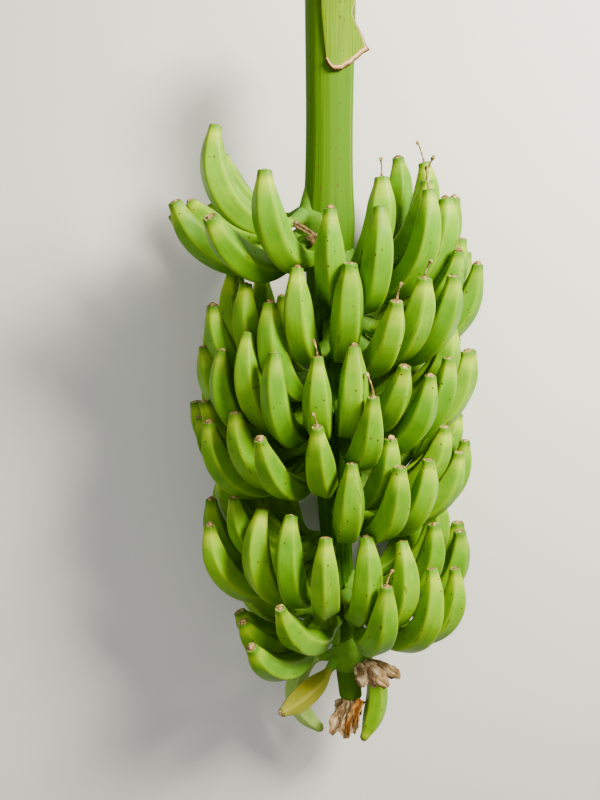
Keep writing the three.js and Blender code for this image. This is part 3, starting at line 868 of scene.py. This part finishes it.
def cushion_tissue(add, fresh, deep, worn):
    """Cushion of a hand, firm green tissue: matt green, mottled, with corky brown scabs."""
    where = add("TexCoord")["Object"]
    cloud = add("TexNoise", {"Vector": where, "Scale": every(16.67), "Detail": 4.0})[0]
    green = add("ValToRGB", (cloud,), ((0.32, deep), (0.62, fresh)))[0]
    scabs = add("TexNoise", {"Vector": where, "Scale": every(5.88), "Detail": 5.0, "Distortion": 0.8})[0]
    scab = add("MapRange", (scabs, 0.64, 0.72, 0.0, 0.75))[0]
    colour = layered(add, green, (scab, worn))
    rough = add("MapRange", (scabs, 0.0, 1.0, 0.45, 0.75))[0]
    return colour, rough, scabs, 0.0004


def stalk_skin(add, fresh, stripe, deep, foot):
    """Skin of the stalk, firm and fibrous: bright green with lengthwise yellow and dark stripes and fine
    brown specks, with painted shade turning it dark green between the hands and in the rib hollows."""
    unbent, level, rib, _ = own_maps(add)
    # stripes 8 mm apart and a hand long, and hair lines 1.4 mm apart
    stripes = fibres(add, unbent, (1, 1, 0.02), 7.69, 2.0)
    lines = fibres(add, unbent, (1, 1, 0.015), 1.43, 3.0)
    skin = add("ValToRGB", (stripes,), ((0.33, deep), (0.47, fresh), (0.62, fresh), (0.78, stripe)))[0]
    hair = add("MapRange", (lines, 0.5, 0.72, 0.0, 0.45))[0]
    # painted shade: the dark foot green laid where the hands cover the stalk, deeper in the rib hollows
    shade = add("ValToRGB", (level,), [(at, (v, v, v, 1)) for at, v in HAND_SHADE])[0]
    rib_shade = add("MapRange", (rib, 0.2, 0.8, 1.0, 0.74))[0]
    under = add("Math", (shade, rib_shade), operation="MULTIPLY")[0]
    drawn = add("Mapping", {"Vector": unbent, "Scale": (1, 1, 0.55)})[0]
    speck = specks(add, drawn, 5.26, 0.4, 0.27, 0.04, 0.8)
    colour = layered(add, skin, (hair, deep), (under, foot), (speck, linear("#59431f")))
    rough = add("MapRange", (lines, 0.0, 1.0, 0.5, 0.7))[0]
    return colour, rough, lines, 0.0005, {"Specular IOR Level": 0.08}


def sheath_skin(add, fresh, stripe, dry, dark, pale):
    """Leaf sheath, a tough ribbed skin: bright yellow-green with fine ribs, dried to pale brown at its
    torn rim and grey-brown at its frayed side."""
    unbent, _, worn, _ = own_maps(add)
    # ribs 2 mm apart, fraying in bits of 3 mm
    lines = fibres(add, unbent, (1, 0.03, 1), 2.38, 3.0)
    green = add("ValToRGB", (lines,), ((0.36, fresh), (0.66, stripe)))[0]
    frayed = add("TexNoise", {"Vector": unbent, "Scale": every(3.333), "Detail": 4.0})[0]
    ragged = add("Math", (frayed, 0.25, worn), operation="MULTIPLY_ADD")[0]
    dried = add("MapRange", (ragged, 0.46, 0.56, 0.0, 1.0))[0]
    depth = add("MapRange", (ragged, 0.46, 1.12, 0.0, 1.0))[0]
    brown = add("ValToRGB", (depth,), ((0.06, dark), (0.26, dry), (0.62, pale), (0.96, dark)))[0]
    drawn = add("Mapping", {"Vector": unbent, "Scale": (1, 0.45, 1)})[0]
    speck = specks(add, drawn, 4.76, 0.68, 0.24, 0.05, 0.75, voronoi_dimensions="2D")
    colour = layered(add, green, (dried, brown), (speck, linear("#4d3c1b")))
    rough = add("MapRange", (dried, 0.0, 1.0, 0.55, 0.85))[0]
    return colour, rough, lines, 0.0005, {"Specular IOR Level": 0.07}


def cut_pith(add, pale, ring, brown):
    """Cut face of the stalk, wet pith browned by the air: pale cream with a dot for each cut strand."""
    where = add("TexCoord")["Object"]
    strands = add("TexVoronoi", {"Vector": where, "Scale": every(2.38)})["Distance"]
    dots = add("MapRange", (strands, 0.1, 0.3, 1.0, 0.0))[0]
    cloud = add("TexNoise", {"Vector": where, "Scale": every(14.3), "Detail": 4.0})[0]
    base = add("ValToRGB", (cloud,), ((0.35, ring), (0.62, pale)))[0]
    colour = layered(add, base, (dots, brown))
    rough = add("MapRange", (cloud, 0.0, 1.0, 0.45, 0.7))[0]
    return colour, rough, dots, 0.0003


def bract_paper(add, dark, middle, pale, grain):
    """Dried bract, thin brittle paper: lengthwise veins from dark brown to pale straw, dull."""
    unbent = add("Attribute", attribute_name="unbent")["Vector"]
    veins = fibres(add, unbent, (1, 0.12, 1), grain, 4.0)
    cloud = add("TexNoise", {"Vector": unbent, "Scale": every(11.1), "Detail": 3.0})[0]
    both = add("Math", (veins, cloud), operation="ADD")[0]
    half = add("Math", (both, 0.5), operation="MULTIPLY")[0]
    colour = add("ValToRGB", (half,), ((0.36, dark), (0.5, middle), (0.64, pale)))[0]
    rough = add("MapRange", (veins, 0.0, 1.0, 0.65, 0.9))[0]
    return colour, rough, veins, 0.0004


def floor_paint(add, dull, bright):
    """Painted studio floor, pale and matt, with the faintest clouding."""
    where = add("TexCoord")["Object"]
    cloud = add("TexNoise", {"Vector": where, "Scale": every(333), "Detail": 2.0})[0]
    colour = add("ValToRGB", (cloud,), ((0.3, dull), (0.7, bright)))[0]
    rough = add("MapRange", (cloud, 0.0, 1.0, 0.75, 0.85))[0]
    return colour, rough, cloud, 0.0001


def new_finish(pattern, name, colours, *sizes):
    """A material. Its pattern gives colour, roughness, bump, the bump's height in metres and any settings
    of its own for the shader. Colours are hex values or names from the panel."""
    finish = bpy.data.materials.new(name)
    finish.use_nodes = True
    finish.node_tree.nodes.clear()
    add = functools.partial(add_node, finish.node_tree)
    chosen = bpy.context.scene.bunch_colours
    mixed = [linear(c) if c.startswith("#") else tuple(getattr(chosen, c)) for c in colours.split()]
    colour, rough, height, relief, *own = pattern(add, *mixed, *sizes)
    bump = add("Bump", {"Height": height, "Distance": relief, "Strength": 1.0})[0]
    shader = add("BsdfPrincipled", {
        "Base Color": colour, "Roughness": rough, "Normal": bump, **FAINT_SHEEN, **dict(*own),
    })[0]
    add("OutputMaterial", (shader,))
    return finish


# Each finish's pattern, its material's name, its colours and its grain in mm.
FINISHES = {
    # the green peel takes the lit colour before its tip as well: painted light
    "peel": (peel, "unripe_peel_waxy", "fresh deep lit neck lit"),
    "young": (peel, "young_peel_waxy", "young #7f8a2a #c2b04a neck #a58a3a"),
    "pale": (peel, "pale_peel_waxy", "#9dbd52 #7da53a #bdd27a #a9c566 #8d9a4a"),
    "scar": (dry_tissue, "dried_flower_tissue", "#3f301c #866d40 #c9b57e", 1.2),
    "twig": (dry_tissue, "withered_twig", "#33261a #77603e #b39c70", 1.5),
    "crown": (cushion_tissue, "green_cushion_tissue", "crown #55822a #7a6238"),
    "stalk": (stalk_skin, "fibrous_stalk_skin", "stalk stripe #3f6a05 foot"),
    "pith": (cut_pith, "cut_pith", "#cdcd98 #a0a862 #79653a"),
    "sheath": (sheath_skin, "leaf_sheath_skin", "#4e7002 #6b8502 dry #4a3218 #c4a578"),
    "paper": (bract_paper, "dried_bract_paper", "#4c3826 #98784f #e0cba6", 1.6),
    "amber": (bract_paper, "dried_bract_amber", "#7a4a1c #b9772c #dfae62", 2.5),
    "floor": (floor_paint, "matt_floor_paint", "#d9d8d4 #dedcd8"),
}


@functools.cache
def finishes():
    """Every finish, made once from the panel's colours."""
    return {key: new_finish(*how) for key, how in FINISHES.items()}


# What a user may change
def colour_of(name, description, hexed):
    return bpy.props.FloatVectorProperty(
        name=name, description=description, subtype="COLOR", size=4, min=0, max=1, default=linear(hexed)
    )


def length_of(name, description, default, low, high):
    return bpy.props.FloatProperty(
        name=name, description=description, default=default, min=low, max=high, unit="LENGTH"
    )


class BUNCH_PG_sizes(bpy.types.PropertyGroup):
    angularity: bpy.props.FloatProperty(
        name="Angularity", description="How flat the five faces of a fruit are", default=0.85, min=0, max=1,
        subtype="FACTOR",
    )
    rib_height: length_of("Rib height", "Height of the stalk's ribs between the hands", 0.0011, 0, 0.003)
    sheath_wall: length_of("Sheath wall", "Thickness of the torn sheath", 0.0022, 0.0005, 0.005)
    scrap_wall: length_of("Bract wall", "Thickness of the dry bracts", 0.0007, 0.0003, 0.002)


class BUNCH_PG_colours(bpy.types.PropertyGroup):
    fresh: colour_of("Peel", "Green of the peel", "#659a02")
    deep: colour_of("Deep peel", "Darker green in patches and at the tip", "#3c7003")
    # lit: a sunlit yellow-green, painted highlight on the edges and painted light before the tip; grain
    # streaks
    lit: colour_of("Peel edges", "Yellow-green of the edges and streaks", "#9cb904")
    neck: colour_of("Neck", "Pale green of the fruit's neck", "#7fa61c")
    young: colour_of("Young peel", "Olive yellow of the last small fruit", "#93901a")
    crown: colour_of("Hand cushion", "Green of the cushions", "#5c8a14")
    stalk: colour_of("Stalk", "Bright green of the stalk", "#476d02")
    stripe: colour_of("Stalk stripe", "Yellow stripes of the stalk", "#839308")
    # foot: the dark green of the painted shade on the stalk under the hands
    foot: colour_of("Stalk between the hands", "Dark green of the covered stalk", "#2f5a08")
    dry: colour_of("Dry rim", "Pale brown of dried rims", "#a5825a")


# Operators
grown = functools.cache(Bunch)  # the fruits, worked out once


@functools.cache
def templates():
    """The straight shapes that fruit and dried flowers are bent from, made once."""
    made = {
        "free": straight_fruit(-0.02), "fused": straight_fruit(-0.05),
        "thread": tube(7, WITHERED_RINGS), "stub": tube(9, STUB_RINGS),
    }
    for key in CURLED_BY:
        take_finish(made[key], 1)
    return made


def withered(k):
    """What is left of the flower on fruit number k: nothing, a stub or a thread."""
    if k in THREADS:
        return "thread"
    luck = whim(51, k)
    return "stub" if luck > 0.35 else "thread" if luck < -0.95 else None


def fruit_parts(bunch, i):
    parts = [bent_fruit(bunch, i, templates()["free" if bunch.free[i] else "fused"])]
    left = withered(int(bunch.number[i]))
    if left:
        parts.append(dried_flower(bunch, i, templates()[left], CURLED_BY[left]))
    return parts


class BUNCH_OT_fruit(bpy.types.Operator):
    """Makes every free fruit, bent on its own centre line, in place of its CAD node"""

    bl_idname = "bunch.fruit"
    bl_label = "Free fruit"

    def execute(self, context):
        bunch, looks = grown(), finishes()
        for i in np.flatnonzero(bunch.free):
            hand = HANDS[bunch.hand[i]][0]
            tail = f"{hand}_{'inner' if bunch.inner[i] else 'outer'}_{bunch.place[i] + 1}"
            young = hand == "11"
            peeled = looks[("young", "peel", "pale")[bunch.place[i]] if young else "peel"]
            mesh = joined(f"banana_{tail}", fruit_parts(bunch, i))
            piece(f"banana_{tail}", mesh, (peeled, looks["scar"]),
                  "fruit_young" if young else "fruit_green", f"fruit_{tail}")
        return {"FINISHED"}


class BUNCH_OT_hands(bpy.types.Operator):
    """Makes each hand's cushion with the fruit that lies behind, in place of its CAD node"""

    bl_idname = "bunch.hands"
    bl_label = "Hands"

    def execute(self, context):
        bunch, looks = grown(), finishes()
        for n, (hand, *_) in enumerate(HANDS):
            crown = crown_mesh(bunch, n)
            parts = [(crown, corners_of(crown))]
            for i in np.flatnonzero((bunch.hand == n) & ~bunch.free):
                parts += fruit_parts(bunch, i)
            piece(f"cluster_{hand}", joined(f"cluster_{hand}", parts),
                  (looks["peel"], looks["scar"], looks["crown"]), "hand_green", f"hand_{hand}")
        return {"FINISHED"}


class BUNCH_OT_stalk(bpy.types.Operator):
    """Makes the stalk and the torn sheath at its cut end"""

    bl_idname = "bunch.stalk"
    bl_label = "Stalk and sheath"

    def execute(self, context):
        looks = finishes()
        piece("peduncle", joined("peduncle", [stalk_part()]), (looks["stalk"], looks["pith"]),
              "stalk_green", "stalk")
        skin = thick(joined("sheath_skin", [sheath_part()]), context.scene.bunch_sizes.sheath_wall)
        piece("torn_sheath", skin, (looks["sheath"],), "sheath_green", "sheath")
        return {"FINISHED"}


CRUMPLE_SEED = 5  # settles the noise that crumples the bracts, which would else change with each run
KNOB_RINGS = ((-12, POLE), (-12, 4.5), (-8, 7.5), (-3, 9.2), (1, 10.5), (4, 9.5), (4, POLE))
# Base, way at the base and at the end, length, half width, curl across, crumple and seed of each scrap.
FOOT_SCRAPS = (
    ((26, 20, 14), (0.0, -1, 0.05), (-0.25, -1, 0.3), 50, 11, 1.2, 3.0, 1),
    ((20, 20, 12), (-0.25, -1, 0.0), (-0.55, -0.9, 0.35), 48, 10, 1.3, 3.4, 2),
    ((32, 20, 11), (0.1, -1, 0.0), (-0.2, -1, 0.3), 46, 10, 1.2, 2.8, 3),
    ((22, 20, -2), (-0.2, -1, 0.0), (-0.3, -0.9, -0.4), 42, 12, 1.2, 2.8, 4),
    ((30, 18, -4), (0.1, -1, -0.1), (0.2, -0.9, -0.4), 38, 11, 1.3, 2.6, 10),
)
AMBER_SCRAPS = (
    ((19, -21, 21), (0.5, 1, 0.0), (0.35, 1, 0.1), 50, 9, 1.0, 1.4, 5),
    ((24, -4, 20), (0.2, -1, 0.0), (-0.3, -1, 0.1), 24, 6, 1.3, 1.6, 11),
)
SIDE_SCRAPS = (
    ((34, 74, 18), (0.1, 0.4, 1), (0.0, -1, 0.25), 40, 11, 1.2, 3.2, 6),
    ((40, 76, 16), (0.5, 0.4, 1), (0.45, -1, 0.2), 50, 12, 1.3, 3.6, 7),
    ((46, 74, 12), (1.0, 0.3, 0.8), (0.9, -0.9, 0.1), 46, 10, 1.2, 3.4, 8),
    ((42, 70, 18), (0.3, 0.1, 1), (0.25, -1, 0.35), 32, 9, 1.4, 2.8, 9),
)
# Base, way, sway, length, radius and seed of each twig.
TWIGS = (
    ((-45, 606, 41), (1, -0.6, 0.05), (0, 1.5, 2), 34, 2.3, 1),
    ((-45, 602.5, 42), (1, -0.55, 0.05), (0, 0.8, 2), 30, 2.0, 2),
    ((-29, 592, 46), (0.5, -1, 0.0), (0.5, 0.5, 1), 15, 5.6, 3),
    ((-22, 594, 45), (0.1, -1, 0.0), (1, 0, 1), 15, 4.4, 4),
)


class BUNCH_OT_bracts(bpy.types.Operator):
    """Makes the dry bracts at the flower end, the scraps by the last hand and the twig on the first"""

    bl_idname = "bunch.bracts"
    bl_label = "Dry bracts"

    def execute(self, context):
        looks = finishes()
        noise.seed_set(CRUMPLE_SEED)
        knob = tube(12, KNOB_RINGS)
        turn, radius, height = round_z(knob)
        r = radius * (1 + 0.12 * np.sin(4 * turn + height))
        at = laid(about_stalk(float(lean(STALK_FOOT)), turn, r, STALK_FOOT + height))
        piece("flower_stub", joined("flower_stub", [(knob, at, at)]), (looks["paper"],), "bract_dry")
        for name, scraps, finish, nodes in (
            ("dry_bracts", FOOT_SCRAPS, "paper", ("bracts",)),
            ("amber_bract", AMBER_SCRAPS, "amber", ()),
            ("hand_scraps", SIDE_SCRAPS, "paper", ()),
        ):
            sheets = joined(name, [scrap_part(*scrap) for scrap in scraps])
            mesh = thick(sheets, context.scene.bunch_sizes.scrap_wall)
            piece(name, mesh, (looks[finish],), "bract_dry", *nodes)
        twigs = joined("crown_twig", [twig_part(*twig) for twig in TWIGS])
        piece("crown_twig", twigs, (looks["twig"],), "bract_dry")
        return {"FINISHED"}


PHOTO_FOCAL = 45.0  # mm on a 36 mm long side
CAMERA_FROM = 1150.0
CAMERA_TILT = math.radians(15)
CAMERA_ASIDE = 37.95  # the stalk stands this far right of the view's middle
CAMERA_LEVEL = 400
FLOOR_HALF = 6.0
# Name, place, size, power in watts and colour of each light. All are aimed at the bunch.
LIGHTS = (
    ("key", (0.85, 0.8, 1.1), 0.45, 88.0, (1.0, 0.96, 0.78)),
    ("fill", (-1.5, -0.3, 1.5), 1.6, 11.0, (1.0, 1.0, 0.97)),
    ("over", (0.0, 0.2, 2.6), 2.4, 22.0, (1.0, 1.0, 0.97)),
)
AIM = Vector((0, 0, 0.15))
SKY, SKY_STRENGTH = "#f2f2ee", 0.2


class BUNCH_OT_stage(bpy.types.Operator):
    """Makes the camera, the pale floor and the soft studio lights"""

    bl_idname = "bunch.stage"
    bl_label = "Stage"

    def execute(self, context):
        scene = context.scene
        bm = bmesh.new()
        bmesh.ops.create_grid(bm, x_segments=1, y_segments=1, size=FLOOR_HALF)
        floor = placed("floor", into_mesh(bm, "floor"))
        floor.data.materials.append(finishes()["floor"])
        camera = bpy.data.cameras.new("camera")
        camera.lens, camera.sensor_width, camera.sensor_fit = PHOTO_FOCAL, 36.0, "AUTO"
        eye = scene.camera = placed("camera", camera)
        s, c = math.sin(CAMERA_TILT), math.cos(CAMERA_TILT)
        forward, up = Vector((0, -s, -c)), Vector((0, c, -s))
        place = Vector((-CAMERA_ASIDE, CAMERA_LEVEL, 0)) - forward * CAMERA_FROM
        turn = Matrix((Vector((1, 0, 0)), up, -forward)).transposed()
        tilt = (LYING.to_3x3() * 1000).to_4x4()
        eye.matrix_world = Matrix.Translation(LYING @ place) @ tilt @ turn.to_4x4()
        for name, at, size, power, colour in LIGHTS:
            lamp = bpy.data.lights.new(name, "AREA")
            lamp.size, lamp.energy, lamp.color = size, power, colour
            hung = placed(name, lamp)
            hung.location = at
            hung.rotation_euler = (AIM - Vector(at)).to_track_quat("-Z", "Y").to_euler()
        scene.world = bpy.data.worlds.new("studio")
        scene.world.use_nodes = True
        sky = next(n for n in scene.world.node_tree.nodes if n.type == "BACKGROUND")
        sky.inputs[0].default_value, sky.inputs[1].default_value = linear(SKY), SKY_STRENGTH
        return {"FINISHED"}


class BUNCH_PT_panel(bpy.types.Panel):
    """Lists the makers of the bunch"""

    bl_idname = "BUNCH_PT_panel"
    bl_label = "Banana bunch"
    bl_space_type = "VIEW_3D"
    bl_region_type = "UI"
    bl_category = "Bunch"

    def draw(self, context):
        for group in (context.scene.bunch_sizes, context.scene.bunch_colours):
            for key in group.__annotations__:
                self.layout.prop(group, key)
        for maker in MAKERS:
            self.layout.operator(maker.bl_idname)


MAKERS = (BUNCH_OT_stage, BUNCH_OT_stalk, BUNCH_OT_bracts, BUNCH_OT_hands, BUNCH_OT_fruit)
CLASSES = (BUNCH_PG_sizes, BUNCH_PG_colours, *MAKERS, BUNCH_PT_panel)


def register():
    for known in CLASSES:
        bpy.utils.register_class(known)
    bpy.types.Scene.bunch_sizes = bpy.props.PointerProperty(type=BUNCH_PG_sizes)
    bpy.types.Scene.bunch_colours = bpy.props.PointerProperty(type=BUNCH_PG_colours)


def unregister():
    del bpy.types.Scene.bunch_sizes, bpy.types.Scene.bunch_colours
    for known in reversed(CLASSES):
        bpy.utils.unregister_class(known)


def main():
    register()
    bpy.ops.bunch.stage()
    bpy.ops.bunch.stalk()
    bpy.ops.bunch.bracts()
    bpy.ops.bunch.hands()
    bpy.ops.bunch.fruit()
    for template in templates().values():
        bpy.data.meshes.remove(template)
    templates.cache_clear()


if __name__ == "__main__":
    main()
